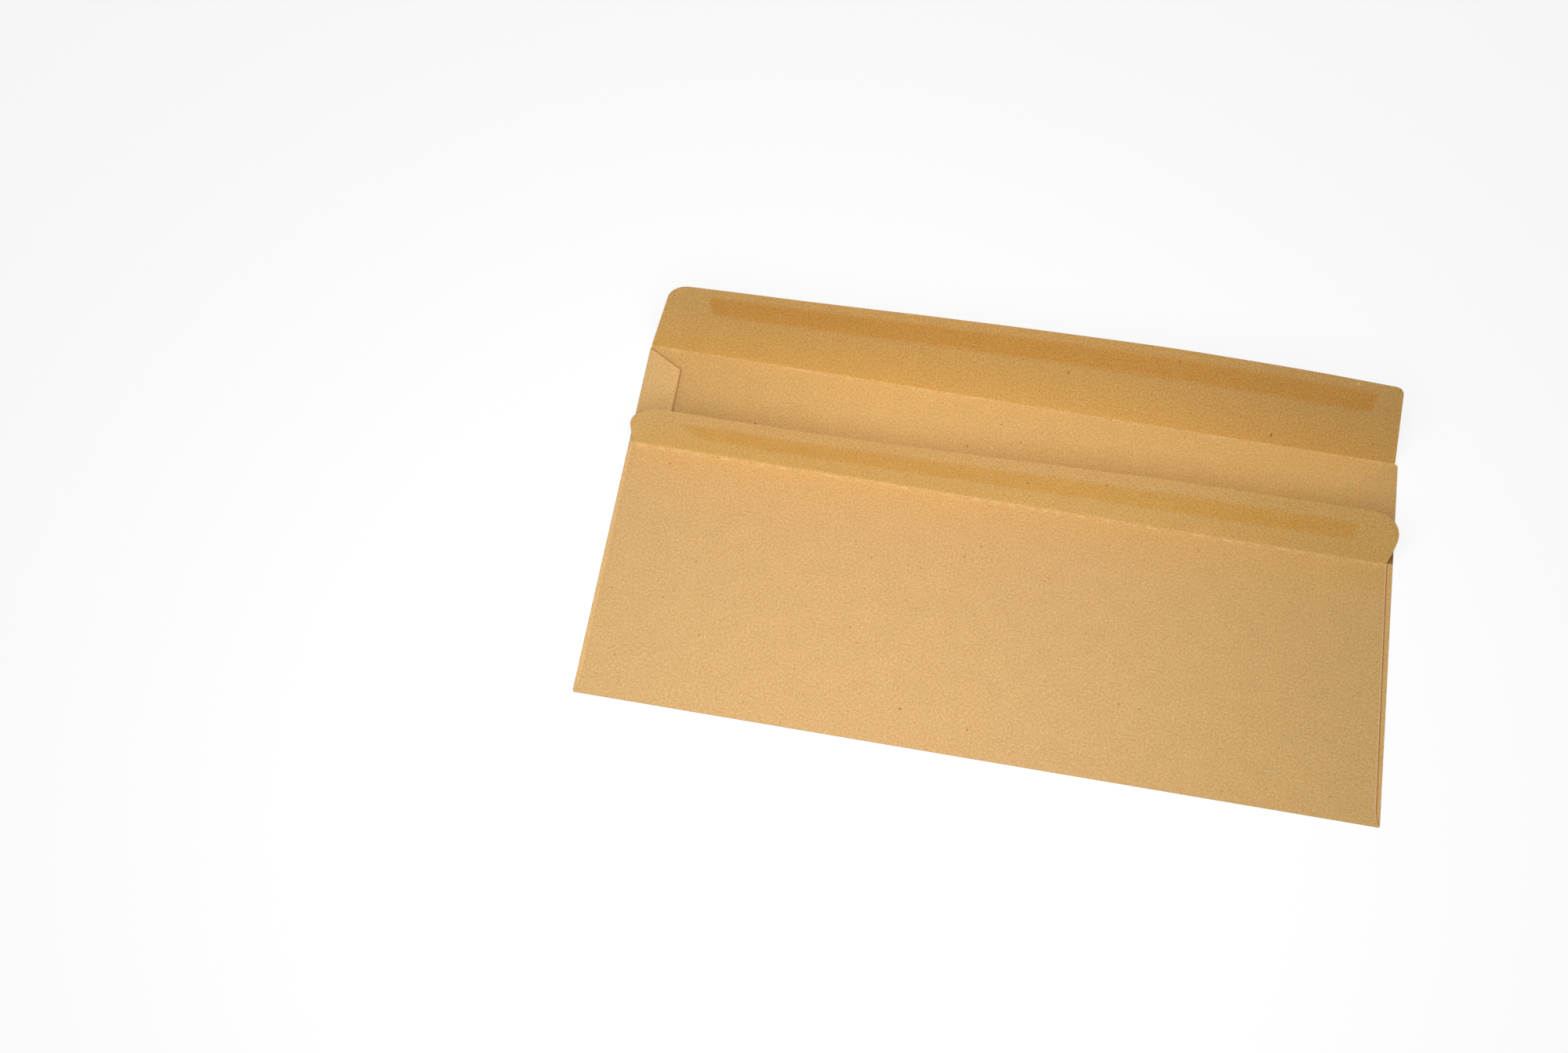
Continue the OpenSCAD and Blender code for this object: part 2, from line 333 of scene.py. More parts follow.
def buildFoldTree():
    # folds a flat cut along all its creases; the flat place stays on it as cutPlace, in mm
    tree, given, made = newGroup(
        "foldEnvelope", "GeometryNodeTree",
        [("Geometry", "Geometry", None), ("Material", "Material", None)]
        + [(label, "Float", value) for label, value in foldInputs],
        [("Geometry", "Geometry")])
    foldGroup = buildFoldGroup()
    tiltGroup = buildTiltGroup()

    position = tree.nodes.new("GeometryNodeInputPosition").outputs[0]
    store = addNode(tree, "GeometryNodeStoreNamedAttribute", {
        "Geometry": given["Geometry"], "Name": "cutPlace",
        "Value": scaled(tree, position, 1 / mm)}, data_type="FLOAT_VECTOR", domain="POINT")
    across, along, rise = separate(tree, position)
    ground = combine(tree, across, along)

    # the flaps wave more towards their free edges, and the back panel bulges a little
    mainRun = between(tree, along, mainRoot * mm, (mainRoot + mainFlapSizes["height"]) * mm)
    mouthRun = between(tree, along, mouthRoot * mm, (mouthRoot - mouthFlapSizes["height"]) * mm)
    flapCockle = times(tree, waveNoise(tree, ground, *foldShape["flapWave"]), given["Flap Cockle"])
    fromFold, fromCrease = foldShape["bulgeEnds"]
    backAlong = times(tree, between(tree, along, backRoot * mm, (backRoot - fromFold) * mm),
                      between(tree, along, mouthLine * mm, (mouthLine + fromCrease) * mm))
    start, full = foldShape["bulgeSides"]
    backAcross = between(tree, calc(tree, "ABSOLUTE", across),
                         (halfWidth - start) * mm, (halfWidth - full) * mm)
    backCockle = times(tree, waveNoise(tree, ground, *foldShape["backWave"]), given["Back Cockle"])
    swell = total(tree, given["Back Bulge"], backCockle)
    offset = minus(tree, times(tree, flapCockle, total(tree, mainRun, mouthRun)),
                   times(tree, swell, times(tree, backAlong, backAcross)))
    rise = total(tree, rise, offset)

    # the back panel's side edges stand off the side flaps, by different heights
    start, full = foldShape["edgeSides"]
    leftEdge = between(tree, across, (start - halfWidth) * mm, (full - halfWidth) * mm)
    rightEdge = between(tree, across, (halfWidth - start) * mm, (halfWidth - full) * mm)
    start, full = foldShape["edgeRise"]
    proud = times(tree, between(tree, along, (backRoot - start) * mm, (backRoot - full) * mm),
                  total(tree, times(tree, leftEdge, given["Left Edge Lift"]),
                        times(tree, rightEdge, given["Right Edge Lift"])))
    wobble = times(tree, waveNoise(tree, combine(tree, across), *foldShape["creaseWave"]),
                   given["Crease Wobble"])

    share = calc(tree, "DIVIDE", across, given["Half Width"])
    mainTilt, mouthTilt = (
        placeGroup(tree, tiltGroup, {
            "Across": share, **{name: given[flap + name] for name in tiltNames}})["Tilt"]
        for flap in ("Main ", "Mouth "))

    # mouth flap: it turns back over the sheet's outer face, so its rise counts from there
    mouth = placeGroup(tree, foldGroup, {
        "Past": total(tree, minus(tree, given["Mouth Line"], along), wobble),
        "Rise": minus(tree, given["Paper"], rise),
        "Outer Radius": given["Crease Radius"], "Band": given["Crease Band"], "Tilt": mouthTilt})
    along = total(tree, minus(tree, given["Mouth Line"], mouth["Out"]), wobble)
    rise = minus(tree, minus(tree, given["Paper"], mouth["Up"]), proud)

    bottom = placeGroup(tree, foldGroup, {
        "Past": minus(tree, given["Bottom Line"], along), "Rise": rise,
        "Outer Radius": given["Bottom Fold Radius"], "Band": given["Bottom Band"],
        "Tilt": math.pi})
    along = minus(tree, given["Bottom Line"], bottom["Out"])

    main = placeGroup(tree, foldGroup, {
        "Past": total(tree, minus(tree, along, given["Main Line"]), wobble), "Rise": bottom["Up"],
        "Outer Radius": given["Crease Radius"], "Band": given["Crease Band"], "Tilt": mainTilt})
    along = minus(tree, total(tree, given["Main Line"], main["Out"]), wobble)

    # beyond the back panel the side flaps have sprung up a little
    leftSide = calc(tree, "LESS_THAN", across, 0.0)
    lift = total(tree, times(tree, leftSide, given["Left Flap Lift"]),
                 times(tree, minus(tree, 1.0, leftSide), given["Right Flap Lift"]))
    start, full = foldShape["springSpan"]
    sprung = times(tree, calc(tree, "RADIANS", lift), between(tree, along, start * mm, full * mm))

    side = placeGroup(tree, foldGroup, {
        "Past": minus(tree, calc(tree, "ABSOLUTE", across), given["Plate Half"]),
        "Rise": main["Up"], "Outer Radius": given["Side Fold Radius"], "Band": given["Side Band"],
        "Tilt": minus(tree, math.pi, sprung)})
    outward = total(tree, given["Plate Half"], side["Out"])
    across = times(tree, calc(tree, "SIGN", across), outward)

    move = addNode(tree, "GeometryNodeSetPosition", {
        "Geometry": store.outputs[0], "Position": combine(tree, across, along, side["Up"])})
    realize = addNode(tree, "GeometryNodeRealizeInstances", {"Geometry": move.outputs[0]})
    paint = addNode(tree, "GeometryNodeSetMaterial", {
        "Geometry": realize.outputs[0], "Material": given["Material"]})
    feed(tree, made["Geometry"], paint.outputs[0])
    arrange(tree)
    return tree


foldTree = buildFoldTree()
print("envelope: folding tree built,", len(foldTree.nodes), "nodes")


# The flat cuts: the sheet, and the films of gum on its flaps

cutSteps = {
    "across": 118,      # columns between the two ends
    "end": 4,           # finer columns at each end
    "endWidth": 0.03,   # share of the half width that they take
    "crease": 6,
    "fold": 9,
    "corner": 16,
    "pitch": 1.8,       # mm between rows elsewhere
    "sideFlap": 6,
    "rim": 8,           # places along each free edge that distances are taken from
    "sharp": 40,        # degrees beyond which an edge isn't shaded smooth
}
farPast = 50.0   # mm, stands for out of reach


def storeToEdge(mesh, points, rimEdges):
    # how far each point lies from the nearest free edge of the flat cut, in mm, kept as toEdge
    steps = cutSteps["rim"]
    spots = [Vector((*points[a], 0.0)).lerp(Vector((*points[b], 0.0)), i / steps)
             for a, b in rimEdges for i in range(steps)]
    near = kdtree.KDTree(len(spots))
    for i, spot in enumerate(spots):
        near.insert(spot, i)
    near.balance()
    away = [near.find(Vector((*point, 0.0)))[2] for point in points]
    mesh.attributes.new("toEdge", "FLOAT", "POINT").data.foreach_set("value", away + away)


def storePastBack(mesh, points):
    # on the right side flap, how far past the back panel's edge each point comes to lie, in mm
    past = []
    for across, along in points:
        out = across - plateHalf
        if out < slack:
            past.append(farPast)
            continue
        up = min(max(along + halfHeight, 0), backRoot - mouthLine)
        past.append(plateHalf - backEnds(up)[1] + sideBand - out)
    mesh.attributes.new("pastBack", "FLOAT", "POINT").data.foreach_set("value", past + past)


def thinPlate(name, points, faces, lowRise, highRise):
    # two layers of one outline with a rim between them; a rise is one value or one for each point
    def layer(rises):
        if not isinstance(rises, (list, tuple)):
            rises = [rises] * len(points)
        return [(x * mm, y * mm, z * mm) for (x, y), z in zip(points, rises)]

    count = len(points)
    edges = {(face[i], face[(i + 1) % len(face)]) for face in faces for i in range(len(face))}
    free = [(a, b) for a, b in sorted(edges) if (b, a) not in edges]
    rim = [(a, b, b + count, a + count) for a, b in free]
    upper = [tuple(i + count for i in face) for face in faces]
    lower = [face[::-1] for face in faces]
    mesh = bpy.data.meshes.new(name)
    mesh.from_pydata(layer(lowRise) + layer(highRise), [], upper + lower + rim)
    storeToEdge(mesh, points, free)
    return addObject(name, mesh)


def gridFaces(rows, columns):
    wide = columns + 1
    return [(r * wide + c, r * wide + c + 1, (r + 1) * wide + c + 1, (r + 1) * wide + c)
            for r in range(rows) for c in range(columns)]


def even(start, end, steps):
    return [start + (end - start) * i / steps for i in range(1, steps + 1)]


def cornerCut(run, height, radius):
    up = max(run - (height - radius), 0)
    return radius - math.sqrt(max(radius * radius - up * up, 0))


def flapEnds(middle, half, run, flap):
    left, right = (cornerCut(run, flap["height"], radius) for radius in flap["corners"])
    return middle - half + left, middle + half - right


def mainEnds(run):
    # left and right end of the main flap at a run beyond its crease
    flap = mainFlapSizes
    share = run / flap["height"]
    half = halfWidth - flap["inset"] - flap["taper"] * share
    return flapEnds(flap["shift"] * (share - 1), half, run, flap)


def mouthEnds(run):
    flap = mouthFlapSizes
    share = min(run / (flap["height"] - max(flap["corners"])), 1)
    half = halfWidth - sheetSizes["backInset"] + flap["bulge"] * math.sin(math.pi / 2 * share)
    return flapEnds(-sheetSizes["backShift"], half, run, flap)


def backEnds(up):
    # ends of the back panel at a height above the bottom fold's line
    lowHalf = halfWidth - sheetSizes["backInsetLow"]
    out = plateHalf - lowHalf
    runout = sheetSizes["backRunout"]
    if up <= runout:
        radius = (runout * runout + out * out) / (2 * out)
        half = lowHalf + radius - math.sqrt(radius * radius - (runout - up) ** 2)
        return -half, half
    share = (up - runout) / (backRoot - mouthLine - runout)
    half = lowHalf + (halfWidth - sheetSizes["backInset"] - lowHalf) * share
    return -half - sheetSizes["backShift"] * share, half - sheetSizes["backShift"] * share


def rowsFor(length):
    return max(2, round(length / cutSteps["pitch"]))


def flapRows(sizes, root, sign, ends):
    # from the flap's root to its free edge
    corner = max(sizes["corners"])
    straight = sizes["height"] - corner
    turns = even(0, math.pi / 2, cutSteps["corner"])
    runs = [0] + even(0, straight, rowsFor(straight))
    runs += [straight + corner * math.sin(turn) for turn in turns]
    return [(root + sign * run, *ends(run)) for run in runs]


def sheetRows():
    # (place along the cut, left end, right end) from the mouth flap's free edge to the main flap's
    mouth = flapRows(mouthFlapSizes, mouthRoot, -1, mouthEnds)[::-1]
    main = flapRows(mainFlapSizes, mainRoot, 1, mainEnds)
    body = [(place, *mouthEnds(0)) for place in even(mouthRoot, mouthLine, cutSteps["crease"])]
    backLength = backRoot - mouthLine
    runout = sheetSizes["backRunout"]
    ups = even(backLength, runout, rowsFor(backLength)) + even(runout, 0, cutSteps["crease"])
    body += [(backRoot - up, *backEnds(up)) for up in ups]
    places = even(backRoot, bottomLine, cutSteps["fold"]) + [-sideRootHalf]
    places += even(-sideRootHalf, sideRootHalf, rowsFor(2 * sideRootHalf)) + [mainLine]
    body += [(place, -plateHalf, plateHalf) for place in places]
    body += [(place, *mainEnds(0)) for place in even(mainLine, mainRoot, cutSteps["crease"])]
    return mouth + body + main[1:]


def columnShares():
    inner = 1 - cutSteps["endWidth"]
    middle = [-inner + 2 * inner * i / cutSteps["across"] for i in range(cutSteps["across"] + 1)]
    ends = even(inner, 1, cutSteps["end"])
    return [-share for share in ends[::-1]] + middle + ends


def cutSheet():
    rows = sheetRows()
    shares = columnShares()
    points = [((left + right) / 2 + (right - left) / 2 * share, place)
              for place, left, right in rows for share in shares]
    wide = len(shares)
    faces = gridFaces(len(rows) - 1, wide - 1)

    # side flaps grow from the front panel's last column on each side
    roots = [r for r, row in enumerate(rows) if abs(row[0]) <= sideRootHalf + slack]
    flat = sheetSizes["sideFlapWidth"] - sideFoldRadius
    steps = even(0, sideBand, cutSteps["fold"])
    steps += even(sideBand, sideBand + flat, cutSteps["sideFlap"])
    for sign, column in ((-1, 0), (1, wide - 1)):
        grid = {}
        for r in roots:
            grid[r, 0] = r * wide + column
            for j, out in enumerate(steps, 1):
                slant = sheetSizes["sideFlapSlant"] * max(out - sideBand, 0) / flat
                grid[r, j] = len(points)
                points.append((sign * (plateHalf + out), rows[r][0] * (1 - slant / sideRootHalf)))
        for r in roots[:-1]:
            for j in range(len(steps)):
                face = (grid[r, j], grid[r, j + 1], grid[r + 1, j + 1], grid[r + 1, j])
                faces.append(face if sign > 0 else face[::-1])
    plate = thinPlate("paperSheet", points, faces, 0.0, paper)
    storePastBack(plate.data, points)
    return plate


mainGum = {
    "left": -93.5, "right": 98.3,      # ends, mm from the middle
    "from": 15.3, "to": 25.2,          # lower and upper edge, mm beyond the crease
    "thick": 0.04,
    "ragLow": 0.55, "ragHigh": 0.5,    # how far the two edges wander
    "seed": 2.3,
    "wedge": 2.0,                      # length over which its left end grows to full width
    "tone": (0.95, 0.815, 0.54, 1.0),  # what the paper's colour is multiplied by under it
    "blotch": 0.45,                    # blotches for each mm
    "wander": 2.2,
    "lowFade": 2.7, "highFade": 2.6,   # width over which it thins out at its edges
    "endFade": 0.8,
    "thin": 0.66,                      # share left of it where it is thinnest
}
mouthGum = {
    "left": -96.0, "right": 97.8,
    "from": 5.2, "to": 14.4,
    "thick": 0.04,
    "ragLow": 0.4, "ragHigh": 0.9,
    "seed": 9.4,
    "wedge": 9.0,
    "tone": (0.948, 0.845, 0.575, 1.0),
    "blotch": 0.42,
    "wander": 4.0,
    "lowFade": 1.9, "highFade": 3.0,
    "endFade": 1.6,
    "thin": 0.5,
}
gumSteps = {
    "across": 240, "up": 10,
    "ragWaves": ((3.0, 0.0), (15.0, 4.0)),   # their length in mm, and where the noise is read
    "ragWeight": 0.9,
    "ragApart": 5,                     # seed of the upper edge beyond the lower edge's
    "endRound": 1.6, "endShare": 0.55, # mm over which an end narrows, share left of it there
    "wedgeShare": 0.7, "wedgePower": 1.5,
    "tip": 0.5,                        # least width, mm
    "bevel": 0.15,                     # share of the thickness at the rim
}


def rag(x, seed, reach):
    near, far = (noise.noise(Vector((x / size, seed, lane))) for size, lane in gumSteps["ragWaves"])
    return reach * (gumSteps["ragWeight"] * near + gumSteps["ragWeight"] * far)


def gumEdges(strip, x):
    # lower and upper edge at a place across the flap
    middle = (strip["from"] + strip["to"]) / 2
    fromLeft, least = x - strip["left"], gumSteps["endShare"]
    toEnd = min(min(fromLeft, strip["right"] - x) / gumSteps["endRound"], 1.0)
    narrow = math.sqrt(max(0.0, 1 - (1 - toEnd) ** 2)) * (1 - least) + least
    wedge = max(0.0, 1 - fromLeft / strip["wedge"]) ** gumSteps["wedgePower"]
    wedge *= (strip["to"] - strip["from"]) * gumSteps["wedgeShare"]
    lower, upper = (
        middle + (strip[edge] + rag(x, strip["seed"] + apart, strip[reach]) - middle) * narrow
        for edge, apart, reach in (("from", 0, "ragLow"), ("to", gumSteps["ragApart"], "ragHigh")))
    return min(lower + wedge, upper - gumSteps["tip"]), upper


def cutGum(name, strip, root, sign):
    across, up = gumSteps["across"], gumSteps["up"]
    points, lift = [], []
    for r in range(up + 1):
        for c in range(across + 1):
            x = strip["left"] + (strip["right"] - strip["left"]) * c / across
            lower, upper = gumEdges(strip, x)
            points.append((x, root + sign * (lower + (upper - lower) * r / up)))
            onRim = r in (0, up) or c in (0, across)
            lift.append(strip["thick"] * (gumSteps["bevel"] if onRim else 1.0))
    faces = gridFaces(up, across)
    if sign < 0:
        faces = [face[::-1] for face in faces]
        return thinPlate(name, points, faces, [-height for height in lift], 0.0)
    return thinPlate(name, points, faces, paper, [paper + height for height in lift])


# Paper and gum surfaces
def colour(r, g, b):
    return (r, g, b, 1.0)


def attribute(tree, name):
    return addNode(tree, "ShaderNodeAttribute", attribute_name=name).outputs


def texNoise(tree, vector, scale, detail=2.0, rough=0.5):
    return addNode(tree, "ShaderNodeTexNoise", {
        "Vector": vector, "Scale": scale, "Detail": detail, "Roughness": rough}).outputs[0]


def evenNoise(tree, vector, *shape):
    # noise around 0
    return minus(tree, texNoise(tree, vector, *shape), 0.5)


def stretched(tree, vector, turn, scale):
    return addNode(tree, "ShaderNodeMapping", {
        "Vector": vector, "Rotation": (0, 0, math.radians(turn)), "Scale": scale}).outputs[0]


def mix(tree, share, first, second, blend="MIX"):
    return addNode(tree, "ShaderNodeMix", {"Factor": share, 6: first, 7: second},
                   data_type="RGBA", blend_type=blend).outputs[2]


pulpFinish = {
    "grainNoise": (1.7, 3.0, 0.7),     # for each mm, detail, roughness
    "cloudNoise": (0.16, 3.0, 0.6),
    "hueNoise": (0.3, 2.0),
    "huePlace": (61, 17, 0),           # where it is read, so that it isn't like the others
    "grainWeights": (1.0, 2.05, 3.7),  # grain is paler and darker, hardly yellower
    "hueWeights": (0, 0.6, 1),
    "hairs": ((8, (0.55, 3.2, 1)), (-52, (0.7, 3.6, 1)), (71, (0.6, 3.8, 1))),   # degrees, scale
    "hairNoise": (1.0, 1.0), "hairSpan": (0.62, 0.78),
    "grainHeight": 0.6, "hairHeight": 0.35,
    # size in mm of the cells, share of them with a speck, least and greatest radius in mm
    "dark": (2.4, 0.042, 0.12, 0.32),
    "faint": (1.2, 0.16, 0.12, 0.32),
    "pale": (1.7, 0.1, 0.1, 0.28),
    "leastSpeck": 0.4,
    "spotCore": 0.4,                   # share of a spot's radius with its full strength
    "barkAndShade": colour(0.44, 0.07, 0.01),
    "paleFibreAndHighlight": colour(0.98, 0.78, 0.50),
    "wearHighlightCore": 0.3,                   # the same for the width of a worn line with its painted highlight
    "wearHighlightNoise": (1.0, 2.0, 0.6),
    "wearHighlightStart": 0.64, "wearHighlightRange": 0.28, "wearHighlightSoft": 0.1,
}


def speckle(tree, place, cell, share, small, large):
    cells = addNode(tree, "ShaderNodeTexVoronoi", {"Vector": place, "Scale": 1 / cell},
                    voronoi_dimensions="2D").outputs
    draw = addNode(tree, "ShaderNodeSeparateColor", {0: cells["Color"]}).outputs
    chosen = calc(tree, "LESS_THAN", draw[0], share)
    reach = total(tree, small / cell, times(tree, draw[1], (large - small) / cell))
    spot = between(tree, cells["Distance"], reach, times(tree, reach, pulpFinish["spotCore"]))
    return times(tree, chosen, spot, total(tree, pulpFinish["leastSpeck"], draw[2]))


def buildPulpGroup():
    # kraft pulp: clouding, grain, hair fibres and bark specks over the flat cut, in mm
    tree, given, made = newGroup(
        "kraftPulp", "ShaderNodeTree",
        [("Place", "Vector", None), ("Paper Colour", "Color", colour(0.8, 0.5, 0.2))]
        + [(name, "Float", 0.0) for name in (
            "Cloud", "Grain", "Fibre", "Hue", "Dark Specks", "Faint Specks", "Pale Specks")],
        [("Colour", "Color"), ("Height", "Float")])
    place = given["Place"]
    cloudNoise = evenNoise(tree, place, *pulpFinish["cloudNoise"])
    grainNoise = evenNoise(tree, place, *pulpFinish["grainNoise"])
    huePlace = vectorMath(tree, "ADD", place, pulpFinish["huePlace"])
    hueNoise = evenNoise(tree, huePlace, *pulpFinish["hueNoise"])
    hairs = [between(tree, texNoise(tree, stretched(tree, place, *lay), *pulpFinish["hairNoise"]),
                     *pulpFinish["hairSpan"]) for lay in pulpFinish["hairs"]]
    hair = calc(tree, "MAXIMUM", calc(tree, "MAXIMUM", hairs[0], hairs[1]), hairs[2])
    light = total(tree, 1.0, times(tree, cloudNoise, given["Cloud"]),
                  times(tree, hair, given["Fibre"]))
    plain = scaled(tree, (1, 1, 1), light)
    grain = scaled(tree, pulpFinish["grainWeights"], times(tree, grainNoise, given["Grain"]))
    hue = scaled(tree, pulpFinish["hueWeights"], times(tree, hueNoise, given["Hue"]))
    tone = vectorMath(tree, "ADD", vectorMath(tree, "ADD", plain, grain), hue)
    toned = vectorMath(tree, "MULTIPLY", given["Paper Colour"], tone)

    dark, faint, pale = (
        times(tree, speckle(tree, place, *pulpFinish[kind]), given[kind.title() + " Specks"])
        for kind in ("dark", "faint", "pale"))
    specked = mix(tree, calc(tree, "MAXIMUM", dark, faint), toned, pulpFinish["barkAndShade"])
    feed(tree, made["Colour"], mix(tree, pale, specked, pulpFinish["paleFibreAndHighlight"]))
    feed(tree, made["Height"], total(tree, times(tree, grainNoise, pulpFinish["grainHeight"]),
                                     times(tree, hair, pulpFinish["hairHeight"])))
    arrange(tree)
    return tree


def buildCreaseGroup():
    # 1 near a line, broken into streaks
    tree, given, made = newGroup(
        "creaseWearAndHighlight", "ShaderNodeTree",
        [("Place", "Vector", None), ("Away", "Float", 0.0), ("Width", "Float", 0.5),
         ("Streak Scale", "Float", 0.6), ("Streak Share", "Float", 0.5)],
        [("Mask", "Float")])
    core = times(tree, given["Width"], pulpFinish["wearHighlightCore"])
    near = between(tree, given["Away"], given["Width"], core)
    place = scaled(tree, given["Place"], given["Streak Scale"])
    streaks = texNoise(tree, place, *pulpFinish["wearHighlightNoise"])
    start = minus(tree, pulpFinish["wearHighlightStart"],
                  times(tree, given["Streak Share"], pulpFinish["wearHighlightRange"]))
    worn = between(tree, streaks, start, total(tree, start, pulpFinish["wearHighlightSoft"]))
    feed(tree, made["Mask"], times(tree, near, worn))
    arrange(tree)
    return tree


toneAndShade = {
    # what the paper's colour is multiplied by at the left, in the middle and at the right: partly
    # its own tint, partly painted light and shade
    "back": ((1.005, 1.02, 1.005), (1.015, 1.02, 1.0), (1.022, 1.038, 0.93)),
    "inner": ((0.955, 0.993, 0.854), (1.08, 1.115, 0.975), (1.115, 1.165, 0.97)),
    "sideFlap": ((1.12, 1.17, 1.12), (1.0, 1.0, 1.0), (1.10, 1.11, 0.97)),
    "mainRoot": ((0.99, 1.035, 0.75), (0.995, 1.04, 0.755), (0.94, 0.95, 0.67)),
    "mainEdge": ((0.885, 0.89, 0.71), (0.905, 0.885, 0.665), (0.865, 0.85, 0.665)),
    "mouthRoot": ((1.05, 1.165, 0.94), (1.026, 1.116, 0.925), (0.96, 0.99, 0.754)),
    "mouthEdge": ((1.01, 1.06, 0.96), (1.0, 1.04, 0.94), (0.925, 0.935, 0.73)),
    "leftSpan": (-100.0, -30.0),       # mm over which the left tone turns into the middle one
    "rightSpan": (10.0, 100.0),
    "backCrease": colour(0.97, 0.97, 0.88),
    "backFade": 14.0,                  # mm below the mouth crease
    "faceSpan": (0.3, 0.7),            # shares of the thickness where one face's tone ends
}


def buildAcrossGroup():
    # tones at the left, in the middle and at the right, softly joined
    tree, given, made = newGroup(
        "toneAcross", "ShaderNodeTree",
        [("Across", "Float", None)]
        + [(name, "Color", colour(1, 1, 1)) for name in ("Left", "Middle", "Right")],
        [("Tone", "Color")])
    left = between(tree, given["Across"], *toneAndShade["leftSpan"])
    right = between(tree, given["Across"], *toneAndShade["rightSpan"])
    half = mix(tree, left, given["Left"], given["Middle"])
    feed(tree, made["Tone"], mix(tree, right, half, given["Right"]))
    arrange(tree)
    return tree


acrossGroup = buildAcrossGroup()


def buildToneAndShadeGroup():
    # the flaps and the inner face are toned browner than the back, over the flat cut in mm; partly
    # the paper's own tint, partly painted: shade on the flaps, the warm light that shines through
    # them, and light on the inner face and side flaps
    tree, given, made = newGroup(
        "flapToningAndShade", "ShaderNodeTree",
        [("Place", "Vector", None), ("Back Crease", "Color", toneAndShade["backCrease"])],
        [("Tone", "Color")])
    across, along, rise = separate(tree, given["Place"])

    def zone(name):
        left, middle, right = (colour(*tone) for tone in toneAndShade[name])
        return placeGroup(tree, acrossGroup, {
            "Across": across, "Left": left, "Middle": middle, "Right": right})["Tone"]

    back = zone("back")
    outer = mix(tree, between(tree, along, mouthLine + toneAndShade["backFade"], mouthLine),
                back, mix(tree, 1.0, back, given["Back Crease"], "MULTIPLY"))
    onSide = between(tree, calc(tree, "ABSOLUTE", across),
                     plateHalf + sideBand / 2, plateHalf + sideBand)
    outer = mix(tree, onSide, outer, zone("sideFlap"))
    inside = between(tree, rise, *(paper * share for share in toneAndShade["faceSpan"]))
    face = mix(tree, inside, outer, zone("inner"))
    mainTone = mix(tree, between(tree, along, mainRoot, mainRoot + mainFlapSizes["height"]),
                   zone("mainRoot"), zone("mainEdge"))
    mouthTone = mix(tree, between(tree, along, mouthRoot, mouthRoot - mouthFlapSizes["height"]),
                    zone("mouthRoot"), zone("mouthEdge"))
    # each flap is browner, partly by painted shade, only on the face that it shows when it stands
    # open
    mainShare = times(tree, between(tree, along, mainLine, mainRoot), inside)
    mouthShare = times(tree, between(tree, along, mouthLine, mouthRoot), minus(tree, 1.0, inside))
    feed(tree, made["Tone"], mix(tree, mouthShare, mix(tree, mainShare, face, mainTone), mouthTone))
    arrange(tree)
    return tree


def buildMarkGroup():
    # 1 in a soft spot of this reach around a place
    tree, given, made = newGroup(
        "smallMark", "ShaderNodeTree",
        [(name, "Vector", None) for name in ("Place", "Centre", "Reach")], [("Mask", "Float")])
    off = vectorMath(tree, "SUBTRACT", given["Place"], given["Centre"])
    away = vectorMath(tree, "LENGTH", vectorMath(tree, "DIVIDE", off, given["Reach"]))
    feed(tree, made["Mask"], between(tree, away, 1.0, pulpFinish["spotCore"]))
    arrange(tree)
    return tree


pulpGroup = buildPulpGroup()
creaseGroup = buildCreaseGroup()
markGroup = buildMarkGroup()
toneAndShadeGroup = buildToneAndShadeGroup()

paperFinish = {
    "colour": colour(0.80, 0.485, 0.205),
    "pulp": {"Cloud": 0.13, "Fibre": 0.03, "Hue": 0.12,
             "Dark Specks": 0.62, "Faint Specks": 0.24, "Pale Specks": 0.18},
    "grain": 0.66, "flapGrain": 1.3,   # the second is for the flaps, against the rest
    "roughness": 0.82,
    "specular": 0.25,
    "bump": 0.25, "bumpDepth": 0.03,   # mm
    # pale colour of the worn crease lines, also used for painted highlights
    "wearAndHighlightColour": colour(0.97, 0.68, 0.37),
    "shadeColour": colour(0.42, 0.20, 0.06),
    # strengths of the edge lines, and mm from the edge where each ends and is full
    "edgeShade": 0.72, "edgeShadeSpan": (0.45, 0.27),   # painted shade along the left side flap's cut edge
    "edgeHighlight": 0.6, "edgeHighlightSpan": (0.55, 0.22),    # painted highlight along the back panel's right edge
    "gapShade": 0.75, "gapShadeSpan": (0.6, 0.18),      # painted shadow on the right side flap, along that edge
    "gapShadeColour": colour(0.56, 0.18, 0.02),
    # where the lines start and are full, in mm
    "sideStart": 0.5,       # past the side fold
    "backStart": 4,         # above the bottom fold
    "creaseSoft": 0.2,      # each side of the mouth crease
    "rightSpan": (6, 5),    # in from the side fold
    "gapEnd": 1,            # above the mouth crease
    "footShade": 1.0,       # strength of the painted shade under the mouth flap's foot, on the right side flap
    "footStart": (0.3, 0.8), "footEnd": (6.0, 3.0),   # above the mouth crease
}
# pale lines along the creases and the side folds: partly worn fibres, partly a painted highlight on
# the rounded paper
wearAndHighlightLines = (
    # direction it is measured in, line in mm, width, streaks for each mm, streak share, strength
    ("along", mainLine - 0.15, 0.32, 0.32, 0.4, 0.6),
    ("along", mouthLine + 0.4, 0.36, 0.32, 0.42, 0.55),
    ("along", mouthLine + 0.7, 1.1, 0.25, 0.9, 0.07),
    ("across", plateHalf + sideBand / 2, 0.45, 0.4, 0.6, 0.45),
)
